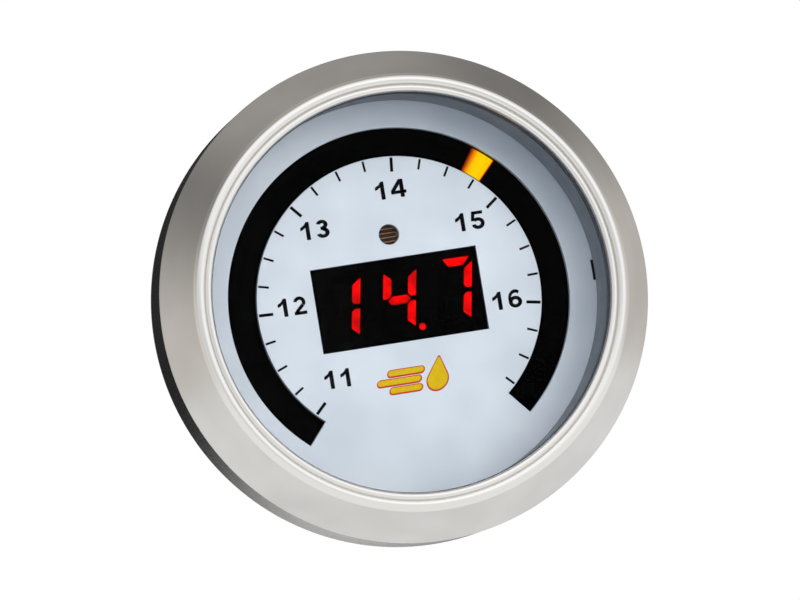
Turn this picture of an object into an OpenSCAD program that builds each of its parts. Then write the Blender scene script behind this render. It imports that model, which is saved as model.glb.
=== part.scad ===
// Panel gauge for air fuel ratio: a lit arc scale and a three digit display behind a deep silver bezel.
// The gauge pushes into a round hole in a dash panel from the front and a strap behind clamps it.
// Origin: centre of the panel seat, where the flange rests on the panel. The dial faces -Y, its top is +Z.
// Each piece is drawn lying down, with z towards the driver and y up the dial, and is then stood upright.

/* [Bezel] */
// Outer radius of the bezel
bezel_r = 30; // [29.5:0.5:33]
// Thickness of the bezel's side wall
bezel_wall = 1.6; // [1.4:0.1:1.8]
// Height of the bezel's straight side above the panel
side_h = 9.2; // [8.4:0.2:9.6]
// Width of the sloping land
land_w = 3.7; // [3.4:0.1:4.2]
// Radius of the rounded corner between the side and the land
bezel_edge_r = 0.45; // [0.2:0.05:0.6]
// Width of the ridge at the top of the land
ridge_w = 1.2; // [0.9:0.1:1.4]
// Radius of the rounded lip next to the lens
lip_round_r = 0.35; // [0.25:0.05:0.4]

/* [Dial] */
// Height of the dial's face above the panel seat
dial_z = 4.85; // [4.4:0.05:5.4]
// Thickness of the dial plate
dial_t = 1; // [0.8:0.1:1.2]
// Width of the arc slot
slot_w = 3.5; // [3.2:0.1:3.8]
// Width of the dial's rim outside the slot
slot_rim_w = 3.3; // [3:0.1:3.6]
// Angle from the top of the dial to each end of the slot
slot_end_a = 139.5; // [138:0.5:142]
// Height of the display window's centre above the dial's centre
window_y = -0.05; // [-0.5:0.05:0.5]
// Radius of the hole over the light sensor
sensor_hole_r = 1.25; // [1:0.05:1.5]
// Height of the light sensor above the edge of the display window
sensor_gap = 2.9; // [2.8:0.05:3.5]
// Angle across the locating notch in the dial's edge
notch_a = 6; // [5:0.5:8]
// How far the notch reaches in past the dial ring
notch_in = 0.25; // [0.1:0.05:0.4]

/* [Light ring] */
// Number of light cells
cell_count = 24; // [12:1:24]
// Angle from the first cell to the last
sweep_a = 270; // [260:2:272]
// Part of the pitch that a cell takes
cell_share = 0.72; // [0.6:0.02:0.76]
// Angle by which the cells stand ahead of the dial's marks
cell_lead_a = 1.7; // [0:0.1:1.8]
// Width that a cell adds on each side of the slot
cell_margin = 0.3; // [0.2:0.05:0.4]
// Thickness of the smoked film behind the dial
film_t = 0.3; // [0.2:0.05:0.4]
// Depth of the black light block
block_h = 4.75; // [4.4:0.05:5.4]
// Length of a light pipe
pipe_l = 3; // [2.6:0.1:3.2]

/* [Display] */
// Height of a digit between the centre lines of its bars
digit_h = 7.1; // [6.6:0.1:7.4]
// Width of a digit between the centre lines of its bars
digit_w = 3.1; // [2.8:0.05:3.3]
// Distance from one digit to the next
digit_pitch = 6.95; // [6.7:0.05:7.2]
// Margin of the window on each side of the digits
window_side = 1.3; // [1.2:0.05:1.5]
// Margin of the window above and below the digits
window_rim = 1.1; // [0.9:0.05:1.3]
// Width of a lit bar
bar_w = 1; // [0.8:0.05:1.1]
// Gap between two bars
bar_gap = 0.3; // [0.2:0.02:0.36]
// Radius of a bar's rounded corners
bar_round = 0.12; // [0.05:0.01:0.16]
// Lean of the digits
digit_lean_a = 10; // [0:1:12]
// Depth of a lit bar in the display's face
bar_t = 0.6; // [0.4:0.1:1]
// Radius of the decimal point
point_r = 0.42; // [0.3:0.02:0.5]

/* [Lens] */
// Height of the ring between the dial and the lens
ring_h = 7.65; // [7.2:0.05:8.2]
// Width of the rim that holds the lens, the ring and the dial
rim_w = 0.9; // [0.8:0.05:1]
// Thickness of the lens
lens_t = 1.5; // [1.2:0.1:1.8]
// Thickness of the lens gasket
gasket_t = 0.5; // [0.3:0.1:0.7]
// How far the gasket shows inside the lip
gasket_in = 0.3; // [0.05:0.05:0.4]

/* [Cup] */
// How far the bezel reaches past the edge of the panel's hole
panel_cover = 4; // [3.6:0.1:4.2]
// Length of the register
register_l = 2.8; // [2:0.1:2.9]
// Step from the register down to the barrel
register_step = 0.4; // [0.2:0.1:0.6]
// Thickness of the cup's wall
cup_wall = 1.5; // [1.3:0.1:1.7]
// Thickness of the cup's back
back_t = 2; // [1.6:0.1:2.4]
// Thickness of the flange on the panel
flange_t = 1.8; // [1.4:0.1:2.2]
// Thickness of the collar's wall
collar_wall = 1.4; // [1.2:0.1:1.5]
// Height of the collar above the panel seat
collar_h = 10.4; // [9.6:0.1:10.4]

/* [Twist lock] */
// Number of lugs on the collar
lug_count = 3; // [2:1:4]
// Angle across a lug
lug_a = 20; // [18:1:20]
// Thickness of a lug
lug_t = 1.5; // [1.2:0.1:1.8]
// Height of a lug's back above the panel seat
lug_z = 5; // [4.8:0.1:5.4]
// Angle across a hook in the bezel
hook_a = 27; // [26.5:0.5:28]
// Thickness of a hook
hook_t = 1.8; // [1.4:0.1:2]
// Angle across the stop at a hook's end
stop_a = 3; // [2:0.5:3]

/* [Circuit boards] */
// Thickness of a circuit board
board_t = 1.6; // [1.4:0.1:2]
// Distance between the two boards
board_gap = 9.8; // [9.2:0.1:11]
// Distance from the main board to the floor of the cup
boss_h = 5.8; // [5.5:0.1:7]
// Angle from the top of the dial to the board screws
screw_a = 38; // [36:0.5:39]
// Radius of a board screw
screw_r = 1; // [0.9:0.05:1.1]

/* [Sockets] */
// Distance between two pins
pin_pitch = 3; // [2.8:0.1:3.1]
// Width of a pin
pin_w = 0.64; // [0.5:0.02:0.8]
// Wall of a socket
socket_wall = 0.8; // [0.6:0.1:1]
// Distance of a socket's centre from the edge of the board
socket_edge = 10.8; // [10.4:0.1:11.2]
// How far a socket stands out of the back
socket_out = 2; // [1.8:0.1:2.6]

/* [Clamp] */
// Thickness of the panel that the clamp holds at rest
panel_t = 3; // [3:0.5:6]
// Width of the clamp strap
strap_w = 9; // [8:0.5:9.5]
// Thickness of the clamp strap
strap_t = 1; // [0.8:0.1:1.2]
// Gap between the strap and the back of the cup at rest
strap_gap = 2; // [1.6:0.1:3]
// Inner radius of the strap's bends
bend_r = 1.6; // [1:0.1:2]
// Radius of a mounting stud
stud_r = 2; // [1.8:0.1:2.2]
// Length of a stud behind the cup
stud_l = 18; // [17:0.5:20]
// Distance of each stud from the middle
stud_y = 11.5; // [11:0.1:12]
// Thickness of a washer
washer_t = 0.8; // [0.6:0.1:1]
// Radius of a washer
washer_r = 4.2; // [3.8:0.1:4.4]
// Radius of a thumb nut
nut_r = 5; // [4.6:0.1:5.4]
// Height of a thumb nut
nut_h = 6; // [5:0.5:7]
// Number of grooves round a thumb nut
nut_grooves = 20; // [12:1:24]

/* [Hidden] */
$fn = 96;

// Overrun of every cut
over = 0.5;
// Clearance of a piece in its seat
seat_gap = 0.1;
// Clearance of a piece that others move past
free_gap = 0.3;
// Clearance of a nut on its stud
thread_gap = 0.03;
// Clearance between pieces that are clamped together but move apart
clamp_gap = 0.05;

// Heights above the panel seat, from the lens back to the cup
lens_back = dial_z + ring_h;
lens_front = lens_back + lens_t;
lip_under = lens_front + gasket_t + seat_gap;
dial_back = dial_z - dial_t;
film_back = dial_back - film_t;
board1_front = film_back - block_h;
board1_back = board1_front - board_t;
board2_front = board1_back - board_gap;
board2_back = board2_front - board_t;
cup_floor = board2_back - boss_h;
cup_back = cup_floor - back_t;

// Radii, from the bezel in to the lens and out again to the skirt
valley_w = 0.1;
land_top_r = bezel_r - land_w;
lip_mid_r = land_top_r - ridge_w - valley_w - lip_round_r;
lip_r = lip_mid_r - lip_round_r;
cup_r = bezel_r - panel_cover;
rim_r = lip_r + rim_w;
collar_in_r = rim_r + seat_gap;
collar_r = collar_in_r + collar_wall;
skirt_r = bezel_r - bezel_wall;
flange_r = skirt_r - free_gap;
lug_r = skirt_r - seat_gap;
barrel_r = cup_r - register_step;
bore_r = barrel_r - cup_wall;
board_r = bore_r - free_gap;
block_r = bore_r - seat_gap;

// Arc slot, window and sensor
slot_out_r = lip_r - slot_rim_w;
slot_in_r = slot_out_r - slot_w;
window_w = 2 * digit_pitch + digit_w + bar_w + 2 * window_side;
window_h = digit_h + bar_w + 2 * window_rim;
sensor_y = window_y + window_h / 2 + sensor_gap;

// Light cells
cell_pitch_a = sweep_a / (cell_count - 1);
cell_a = cell_pitch_a * cell_share;
cell_in_r = slot_in_r - cell_margin;
cell_out_r = slot_out_r + cell_margin;
led_w = 1.4;
led_l = 2.6;
led_h = 1;
led_cup_r = 0.5;
led_cup_t = 0.4;

// Bezel lip: the lip's round, the valley and the ridge stand side by side
lip_t = 0.62;
lip_side_a = 25;
lip_mid_z = lip_under + lip_t;
ridge_rise = 0.3;
ridge_edge_r = 0.25;
ridge_crown_r = 0.9;
crown_from_a = 60;
crown_to_a = 125;
land_top_z = lip_mid_z + ridge_rise;
lens_room_r = rim_r + free_gap;
lens_room_h = 1.2;
cone_h = 4.4;
rear_edge_r = 0.3;

// Twist lock
hook_gap = 0.2;
hook_sunk = 0.3;

// Locating key in the dial's notch
key_a_share = 0.6;
key_w_share = 0.7;
key_sunk = 0.2;

// Legs of the display
display_cols = 6;
display_leg_pitch = 2.54;
display_leg_edge = 1.25;

// Light sensor
cell_body_r = 2.5;
cell_body_t = 2;
lead_r = 0.25;
lead_x = 1.7;
lead_out = 0.8;
well_step = 0.4;

// Screws, spacers and bosses
screw_head_r = 1.7;
screw_head_h = 1.2;
screw_wall = 0.6;
screw_at_r = cell_in_r - screw_wall - screw_head_r - free_gap;
screw_l = 5;
cross_w = 0.4;
cross_l_share = 1.2;
cross_t_share = 0.5;
spacer_r = 2.3;
spacer_stud_l = 4;
boss_r = 2.3;

// Link between the boards
link_cols = 4;
link_pitch = 2;
link_edge = 7.2;
link_y = link_edge - board_r;
link_w = link_pitch * link_cols;
link_d = link_pitch * 2;
link_base_h = 2.5;
link_cap_h = 4;
link_reach = 3;

// Chips and other parts on the boards
driver_w = 10;
driver_l = 4.4;
driver_h = 1.5;
driver_gap = 1.2;
driver_x = window_w / 2 + driver_gap;
leg_w = 0.4;
leg_l = 0.9;
leg_t = 0.25;
leg_pitch = 1.27;
chip_w = 7;
chip_h = 1.4;
reg_w = 6.5;
reg_l = 6.1;
reg_h = 2.3;
reg_tab_l = 1.2;
reg_edge = 9.8;
can_r = 3.15;
can_h = 7;
can_base = 6.6;
can_base_h = 0.9;
can_edge = 6.2;
can_y = 5.6;
can_groove = 0.3;
can_groove_z = 1.8;

// Sockets
sensor_cols = 3;
power_cols = 2;
socket_x = board_r - socket_edge;
socket_rows = 2;
socket_base = 1.5;
socket_h = boss_h + back_t + socket_out;
pin_stand = 3.9;
latch_w = 2.4;
latch_h = 0.7;
latch_l = 1.6;
keyway_w = 1.2;

// Studs and clamp
stud_head_r = 3.2;
stud_head_h = 1.2;
stud_boss_r = 4.2;
stud_boss_h = 3;
leg_gap = 0.5;
leg_in = cup_r + leg_gap;
leg_out = leg_in + strap_t;
strap_z = cup_back - strap_gap;
strap_back = strap_z - strap_t;
strap_hole_r = stud_r + free_gap;
washer_gap = 0.15;
washer_hole_r = stud_r + washer_gap;
washer_split = 0.6;
washer_z = strap_back - clamp_gap;
nut_z = washer_z - washer_t - clamp_gap;
nut_neck_h = 1.4;
nut_neck_r = 3.8;
nut_edge = 0.5;
groove_r = 0.45;

// Stands a piece that was drawn lying down up on the panel
module upright() {
    rotate([90, 0, 0]) children();
}

// Points on an arc, for a round stretch of an outline
function arc_points(mid, r, from, to, steps) = [
    for (i = [0 : steps]) let (a = from + (to - from) * i / steps) mid + r * [cos(a), sin(a)]
];

// Ring from one radius to another, between two heights
module ring(r_in, r_out, low, high) {
    difference() {
        translate([0, 0, low]) cylinder(r = r_out, h = high - low);
        translate([0, 0, low - over]) cylinder(r = r_in, h = high - low + 2 * over);
    }
}

// Piece of a ring, centred on an angle counted clockwise from the top of the dial
module ring_sector(r_in, r_out, low, high, at_a, wide_a) {
    rotate([0, 0, 90 - at_a - wide_a / 2])
        rotate_extrude(angle = wide_a)
            translate([r_in, low]) square([r_out - r_in, high - low]);
}

// Block centred on a point across and up the dial
module block(w, l, low, high, x = 0, y = 0) {
    translate([x - w / 2, y - l / 2, low]) cube([w, l, high - low]);
}

// Round rod centred on a point across and up the dial
module rod(r, low, high, x = 0, y = 0) {
    translate([x, y, low]) cylinder(r = r, h = high - low);
}

// Angle of a light cell's centre
function cell_at(i) = -sweep_a / 2 + i * cell_pitch_a - cell_lead_a;

// Angle of a lug or hook
function lug_at(i) = i * 360 / lug_count;

// The four board screws
module at_screws() {
    for (sx = [-1, 1]) for (sy = [-1, 1])
        translate(screw_at_r * [sx * sin(screw_a), sy * cos(screw_a), 0]) children();
}

// The two studs
module at_studs() {
    for (s = [-1, 1]) translate([0, s * stud_y, 0]) children();
}

// Bezel: side wall, wide sloping land, ridge, valley and lip, with three hooks inside the skirt
function bezel_outline() =
    let (
        land_out_a = 90 - atan2(land_top_z - side_h, bezel_r - land_top_r),
        corner = [bezel_r - bezel_edge_r, side_h - bezel_edge_r * tan(land_out_a / 2)],
        edge = [land_top_r - ridge_edge_r, land_top_z],
        crown = edge - (ridge_crown_r - ridge_edge_r) * [cos(crown_from_a), sin(crown_from_a)]
    )
    concat(
        [[skirt_r, 0], [bezel_r - rear_edge_r, 0], [bezel_r, rear_edge_r]],
        arc_points(corner, bezel_edge_r, 0, land_out_a, 4),
        arc_points(edge, ridge_edge_r, 0, crown_from_a, 4),
        arc_points(crown, ridge_crown_r, crown_from_a, crown_to_a, 6),
        arc_points([lip_mid_r, lip_mid_z], lip_round_r, lip_side_a, 180, 8),
        [[lip_r, lip_under], [lens_room_r, lip_under], [lens_room_r, lip_under - lens_room_h]],
        [[skirt_r, lip_under - lens_room_h - cone_h]]
    );

module bezel() {
    hook_high = lug_z - hook_gap;
    hook_low = hook_high - hook_t;
    hook_in_r = collar_r + free_gap;
    stop_at = (lug_a + stop_a) / 2 + asin(seat_gap / lug_r);
    color([0.73, 0.71, 0.68]) upright() {
        rotate_extrude() polygon(bezel_outline());
        for (i = [0 : lug_count - 1]) {
            ring_sector(hook_in_r, skirt_r + hook_sunk, hook_low, hook_high, lug_at(i), hook_a);
            ring_sector(hook_in_r + seat_gap, skirt_r + 2 * hook_sunk, hook_low + hook_sunk, lug_z + lug_t,
                lug_at(i) - stop_at, stop_a);
        }
    }
}

// Lens gasket: a flat rubber ring that shows as a thin dark line inside the lip
module lens_gasket() {
    color([0.12, 0.12, 0.13]) upright()
        ring(lip_r - gasket_in, rim_r, lens_front, lens_front + gasket_t);
}

// Lens: a clear disc
module lens() {
    color([0.86, 0.9, 0.92, 0.35]) upright() rod(rim_r, lens_back, lens_front);
}

// Dial ring: the tall inner wall between the dial and the lens
module dial_ring() {
    color([0.72, 0.75, 0.79]) upright() ring(lip_r, rim_r, dial_z, lens_back);
}

// Faceplate: dial plate with the arc slot, the display window, the sensor's hole and the notch
module faceplate() {
    color([0.85, 0.9, 0.95]) upright() difference() {
        rod(rim_r, dial_back, dial_z);
        ring_sector(slot_in_r, slot_out_r, dial_back - over, dial_z + over, 0, 2 * slot_end_a);
        block(window_w, window_h, dial_back - over, dial_z + over, 0, window_y);
        rod(sensor_hole_r, dial_back - over, dial_z + over, 0, sensor_y);
        ring_sector(lip_r - notch_in, rim_r + over, dial_back - over, dial_z + over, 90, notch_a);
    }
}

// Smoked film: dark sheet behind the dial that hides the unlit cells
module smoked_film() {
    color([0.06, 0.06, 0.07, 0.8]) upright() difference() {
        rod(block_r, film_back, dial_back);
        block(window_w, window_h, film_back - over, dial_back + over, 0, window_y);
        rod(cell_body_r + seat_gap, film_back - over, dial_back + over, 0, sensor_y);
    }
}

// Light block: black moulding with a walled cell for each light and wells for display and sensor
module light_block() {
    color([0.07, 0.07, 0.08]) upright() difference() {
        rod(block_r, board1_front, film_back);
        for (i = [0 : cell_count - 1])
            ring_sector(cell_in_r, cell_out_r, board1_front - over, film_back + over, cell_at(i), cell_a);
        block(window_w, window_h, board1_front - over, film_back + over, 0, window_y);
        rod(cell_body_r + seat_gap, dial_back - cell_body_t, film_back + over, 0, sensor_y);
        rod(cell_body_r - well_step, board1_front - over, dial_back - cell_body_t + over, 0, sensor_y);
        at_screws() rod(screw_head_r + free_gap, board1_front - over, board1_front + screw_head_h + free_gap);
    }
}

// Light pipes: one clear plug in the front of each cell
module light_pipes() {
    gap_a = asin(seat_gap / cell_in_r) * 2;
    color([0.95, 0.72, 0.2, 0.8]) upright()
        for (i = [0 : cell_count - 1])
            ring_sector(cell_in_r + seat_gap, cell_out_r - seat_gap, film_back - pipe_l, film_back,
                cell_at(i), cell_a - gap_a);
}

// Scale lights: one chip with a small round well below each pipe
module arc_leds() {
    mid_r = (slot_in_r + slot_out_r) / 2;
    color([0.92, 0.9, 0.82]) upright()
        for (i = [0 : cell_count - 1])
            rotate([0, 0, -cell_at(i)]) difference() {
                block(led_w, led_l, board1_front, board1_front + led_h, 0, mid_r);
                rod(led_cup_r, board1_front + led_h - led_cup_t, board1_front + led_h + over, 0, mid_r);
            }
}

// Outline with each corner rounded: a point before it, one near it and one after it
function towards(from, to, l) = from + (to - from) * l / norm(to - from);
function rounded(points, l) = [
    for (i = [0 : len(points) - 1]) let (
        p = points[i],
        before = towards(p, points[(i + len(points) - 1) % len(points)], l),
        after = towards(p, points[(i + 1) % len(points)], l)
    ) each [before, (before + after + 2 * p) / 4, after]
];

// Seven segment digit: outlines in the upright digit, leaned afterwards
function leaned(points) = [for (p = points) [p.x + p.y * tan(digit_lean_a), p.y]];
hw = digit_w / 2;
hh = digit_h / 2;
hb = bar_w / 2;
hg = bar_gap / 2;
bar_top = [
    [-hw - bar_round, hh + hb], [hw + bar_round, hh + hb], [hw - hb - hg, hh - hb], [-hw + hb + hg, hh - hb]
];
bar_side = [
    [hw + hb, hh - hg], [hw + hb, bar_gap], [hw - hg, bar_gap],
    [hw - hb, hb + hg], [hw - hb, hh - hb - bar_gap - hg]
];
bar_middle = [
    [-hw + hg, 0], [-hw + hb + hg, hb], [hw - hb - hg, hb],
    [hw - hg, 0], [hw - hb - hg, -hb], [-hw + hb + hg, -hb]
];
function flipped(points, sx, sy) = [for (p = points) [p.x * sx, p.y * sy]];
digit_bars = [
    bar_top, bar_side, flipped(bar_side, 1, -1), flipped(bar_top, 1, -1),
    flipped(bar_side, -1, -1), flipped(bar_side, -1, 1), bar_middle
];
point_x = hw + hb + bar_gap + hg + point_r;
point_y = -hh - hb + point_r;

// All bars and points of the three digits, from one height to another
module bars(low, high) {
    for (d = [-1 : 1]) translate([d * digit_pitch, window_y, low]) {
        for (bar = digit_bars) linear_extrude(high - low) polygon(leaned(rounded(bar, bar_round)));
        translate([point_x + point_y * tan(digit_lean_a), point_y, 0])
            cylinder(r = point_r, h = high - low, $fn = 32);
    }
}

// Digit display: black case that fills the window, with a pocket for each bar
module digit_display() {
    color([0.05, 0.05, 0.06]) upright() difference() {
        block(window_w - 2 * seat_gap, window_h - 2 * seat_gap, board1_front, dial_z - seat_gap, 0, window_y);
        bars(dial_z - seat_gap - bar_t, dial_z + over);
    }
}

// Display bars: the clear red bars and points that fill the pockets
module display_bars() {
    color([0.9, 0.05, 0.05]) upright() bars(dial_z - seat_gap - bar_t, dial_z - seat_gap);
}

// Places of the display's legs
module display_grid() {
    for (i = [0 : display_cols - 1]) for (s = [-1, 1])
        translate([(i - (display_cols - 1) / 2) * display_leg_pitch,
            window_y + s * (window_h / 2 - display_leg_edge), 0]) children();
}

// Display pins: two rows of legs that go through the board
module display_pins() {
    color([0.8, 0.8, 0.78]) upright() display_grid() rod(lead_r, board1_back - lead_out, board1_front);
}

// Light sensor: round ceramic cell that rests on the step of its well
module photocell() {
    color([0.55, 0.4, 0.3]) upright()
        rod(cell_body_r, dial_back - cell_body_t, dial_back - clamp_gap, 0, sensor_y);
}

module photocell_leads() {
    color([0.8, 0.8, 0.78]) upright()
        for (s = [-1, 1])
            rod(lead_r, board1_back - lead_out, dial_back - cell_body_t, s * lead_x, sensor_y);
}

// Round board with its four screw holes
module board(low, high) {
    difference() {
        rod(board_r, low, high);
        at_screws() rod(screw_r + seat_gap, low - over, high + over);
        children();
    }
}

module display_board() {
    color([0.05, 0.3, 0.16]) upright() board(board1_back, board1_front) {
        display_grid() rod(lead_r + seat_gap, board1_back - over, board1_front + over);
        for (s = [-1, 1])
            rod(lead_r + seat_gap, board1_back - over, board1_front + over, s * lead_x, sensor_y);
    }
}

module main_board() {
    color([0.05, 0.3, 0.16]) upright() board(board2_back, board2_front) {
        link_grid() block(pin_w + seat_gap, pin_w + seat_gap, board2_back - over, board2_front + over);
        socket_grid(sensor_cols, -socket_x)
            block(pin_w + seat_gap, pin_w + seat_gap, board2_back - over, board2_front + over);
        socket_grid(power_cols, socket_x)
            block(pin_w + seat_gap, pin_w + seat_gap, board2_back - over, board2_front + over);
    }
}

// Chip with legs along two sides, its back on z = 0
module chip(w, l, h) {
    leg_count = floor((w - leg_w) / leg_pitch);
    block(w, l, 0, h);
    for (i = [0 : leg_count - 1]) for (s = [-1, 1])
        block(leg_w, leg_l * 2, 0, leg_t, (i - (leg_count - 1) / 2) * leg_pitch, s * l / 2);
}

// Drivers of the scale lights, on the back of the display board
module led_drivers() {
    color([0.1, 0.1, 0.1]) upright()
        for (s = [-1, 1])
            translate([s * driver_x, 0, board1_back]) rotate([0, 180, 90]) chip(driver_w, driver_l, driver_h);
}

module controller_chip() {
    color([0.1, 0.1, 0.1]) upright() translate([0, 0, board2_front]) chip(chip_w, chip_w, chip_h);
}

module voltage_regulator() {
    color([0.14, 0.14, 0.15]) upright() translate([0, board_r - reg_edge, board2_front]) {
        block(reg_w, reg_l, 0, reg_h);
        block(reg_w - leg_w * 2, reg_tab_l * 2, 0, leg_t * 2, 0, reg_l / 2);
        for (i = [-1 : 1]) block(leg_w * 2, leg_l * 2, 0, leg_t * 2, i * reg_w / 3, -reg_l / 2);
    }
}

// Electrolytic capacitors: rolled cans with a groove above a square base
module capacitors() {
    color([0.75, 0.76, 0.78]) upright()
        for (s = [-1, 1]) translate([board_r - can_edge, s * can_y, board2_front]) {
            block(can_base, can_base, 0, can_base_h);
            rotate_extrude() polygon([
                [0, 0], [can_r, 0], [can_r, can_groove_z - can_groove], [can_r - can_groove, can_groove_z],
                [can_r, can_groove_z + can_groove], [can_r, can_h - can_groove], [can_r - can_groove, can_h],
                [0, can_h]
            ]);
        }
}

// Places of the link's pins
module link_grid() {
    for (i = [0 : link_cols - 1]) for (s = [-0.5, 0.5])
        translate([(i - (link_cols - 1) / 2) * link_pitch, link_y + s * link_pitch, 0]) children();
}

module link_header() {
    color([0.1, 0.1, 0.11]) upright() difference() {
        block(link_w, link_d, board2_front, board2_front + link_base_h, 0, link_y);
        link_grid() block(pin_w, pin_w, board2_front - over, board2_front + link_base_h + over);
    }
}

module link_pins() {
    color([0.85, 0.7, 0.35]) upright()
        link_grid() block(pin_w, pin_w, board2_back - lead_out, board1_back - link_cap_h + link_reach);
}

module link_receptacle() {
    color([0.1, 0.1, 0.11]) upright() difference() {
        block(link_w, link_d, board1_back - link_cap_h, board1_back, 0, link_y);
        link_grid()
            block(pin_w + seat_gap, pin_w + seat_gap, board1_back - link_cap_h - over, board1_back - pin_w);
    }
}

// Hexagon spacers between the boards, each with a stud that screws into the cup
module board_spacers() {
    color([0.78, 0.66, 0.36]) upright() at_screws() {
        difference() {
            translate([0, 0, board2_front]) cylinder(r = spacer_r, h = board_gap, $fn = 6);
            rod(screw_r, board1_back - screw_l, board1_back + over);
        }
        rod(screw_r, board2_back - spacer_stud_l, board2_front + over);
    }
}

// Board screws, with a cross in the head
module board_screws() {
    cross_l = screw_head_r * cross_l_share;
    head_top = board1_front + screw_head_h;
    color([0.7, 0.7, 0.72]) upright() at_screws() difference() {
        union() {
            rod(screw_head_r, board1_front, head_top);
            rod(screw_r - clamp_gap, board1_back - screw_l + over, board1_front + over);
        }
        block(cross_w, cross_l, head_top - screw_head_h * cross_t_share, head_top + over);
        block(cross_l, cross_w, head_top - screw_head_h * cross_t_share, head_top + over);
    }
}

// Places of a socket's pins
module socket_grid(cols, x) {
    for (i = [0 : cols - 1]) for (s = [-0.5, 0.5])
        translate([x + (i - (cols - 1) / 2) * pin_pitch, s * pin_pitch, 0]) children();
}

// Socket shell: open to the back, with a latch ramp on top and a keyway below
module socket(cols, x) {
    w = cols * pin_pitch;
    l = socket_rows * pin_pitch;
    mouth = board2_back - socket_h;
    difference() {
        union() {
            block(w + 2 * socket_wall, l + 2 * socket_wall, mouth, board2_back, x, 0);
            translate([x - latch_w / 2, l / 2 + socket_wall, mouth]) rotate([90, 0, 90])
                linear_extrude(latch_w) polygon([[0, 0], [latch_h, latch_l], [0, latch_l]]);
        }
        block(w, l, mouth - over, board2_back - socket_base, x, 0);
        block(keyway_w, socket_wall + over, mouth - over, mouth + socket_out, x,
            -l / 2 - (socket_wall + over) / 2);
        socket_grid(cols, x) block(pin_w, pin_w, board2_back - socket_base - over, board2_back + over);
    }
}

// Pins of a socket, soldered through the main board
module socket_pins(cols, x) {
    socket_grid(cols, x)
        block(pin_w, pin_w, board2_back - socket_base - pin_stand, board2_front + lead_out);
}

module sensor_socket() {
    color([0.08, 0.08, 0.09]) upright() socket(sensor_cols, -socket_x);
}

module sensor_pins() {
    color([0.85, 0.7, 0.35]) upright() socket_pins(sensor_cols, -socket_x);
}

module power_socket() {
    color([0.08, 0.08, 0.09]) upright() socket(power_cols, socket_x);
}

module power_pins() {
    color([0.85, 0.7, 0.35]) upright() socket_pins(power_cols, socket_x);
}

// Cup: moulded housing with flange, register, barrel, closed back, inner bosses and a collar with lugs
function cup_outline() = [
    [0, cup_back], [barrel_r - cup_wall / 2, cup_back], [barrel_r, cup_back + cup_wall / 2],
    [barrel_r, -register_l - register_step], [cup_r, -register_l], [cup_r, 0], [flange_r, 0],
    [flange_r, flange_t], [collar_r, flange_t], [collar_r, collar_h], [collar_in_r, collar_h],
    [collar_in_r, dial_back], [bore_r, dial_back], [bore_r, cup_floor], [0, cup_floor]
];

module cup() {
    color([0.09, 0.09, 0.1]) upright() difference() {
        union() {
            rotate_extrude() polygon(cup_outline());
            for (i = [0 : lug_count - 1])
                ring_sector(collar_r - seat_gap, lug_r, lug_z, lug_z + lug_t, lug_at(i), lug_a);
            at_screws() rod(boss_r, cup_floor - seat_gap, board2_back);
            at_studs() rod(stud_boss_r, cup_floor - seat_gap, cup_floor + stud_boss_h);
            ring_sector(rim_r - rim_w * key_w_share, collar_in_r + key_sunk, dial_back - key_sunk, dial_z,
                90, notch_a * key_a_share);
        }
        at_screws() rod(screw_r + clamp_gap, cup_floor, board2_back + over);
        at_studs() rod(stud_r + clamp_gap, cup_back - over, cup_floor + stud_boss_h + over);
        socket_hole(sensor_cols, -socket_x);
        socket_hole(power_cols, socket_x);
    }
}

// Hole in the cup's back round a socket
module socket_hole(cols, x) {
    rim = 2 * (socket_wall + free_gap);
    block(cols * pin_pitch + rim, socket_rows * pin_pitch + rim, cup_back - over, cup_floor + over, x, 0);
}

// Studs: round heads on the bosses inside, threaded rods through the back
module mounting_studs() {
    head_z = cup_floor + stud_boss_h;
    color([0.78, 0.78, 0.8]) upright() at_studs() {
        rod(stud_head_r, head_z, head_z + stud_head_h);
        rod(stud_r, cup_back - stud_l, head_z + stud_head_h / 2);
    }
}

// Clamp strap: steel strip bent to a U, whose two legs press on the panel above and below the cup
module clamp_strap() {
    bend_y = leg_in - bend_r;
    bend_z = strap_z + bend_r;
    color([0.72, 0.73, 0.75]) upright() difference() {
        union() {
            block(strap_w, 2 * bend_y, strap_back, strap_z);
            for (s = [0, 1]) mirror([0, s, 0]) {
                translate([strap_w / 2, bend_y, bend_z]) rotate([0, -90, 0]) rotate([0, 0, 90])
                    rotate_extrude(angle = 90) translate([bend_r, 0]) square([strap_t, strap_w]);
                block(strap_w, strap_t, bend_z, -panel_t, 0, (leg_in + leg_out) / 2);
            }
        }
        at_studs() rod(strap_hole_r, strap_back - over, strap_z + over);
    }
}

// Spring washer with its split
module washer(s) {
    translate([0, s * stud_y, 0]) difference() {
        ring(washer_hole_r, washer_r, washer_z - washer_t, washer_z);
        block(washer_split, washer_r * 2, washer_z - washer_t - over, washer_z + over, 0, washer_r);
    }
}

module washer_top() {
    color([0.62, 0.63, 0.65]) upright() washer(1);
}

module washer_bottom() {
    color([0.62, 0.63, 0.65]) upright() washer(-1);
}

// Thumb nut: round neck on the washer, then a grooved grip with bevelled edges
module thumb_nut(s) {
    grip_z = nut_z - nut_neck_h;
    nut_back = nut_z - nut_h;
    translate([0, s * stud_y, 0]) difference() {
        rotate_extrude() polygon([
            [stud_r + thread_gap, nut_z], [nut_neck_r, nut_z],
            [nut_neck_r, grip_z], [nut_r - nut_edge, grip_z],
            [nut_r, grip_z - nut_edge], [nut_r, nut_back + nut_edge], [nut_r - nut_edge, nut_back],
            [stud_r + thread_gap, nut_back]
        ]);
        for (i = [0 : nut_grooves - 1]) rotate([0, 0, i * 360 / nut_grooves])
            rod(groove_r, nut_back - over, grip_z + over, nut_r, 0);
    }
}

module thumb_nut_top() {
    color([0.8, 0.68, 0.4]) upright() thumb_nut(1);
}

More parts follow.
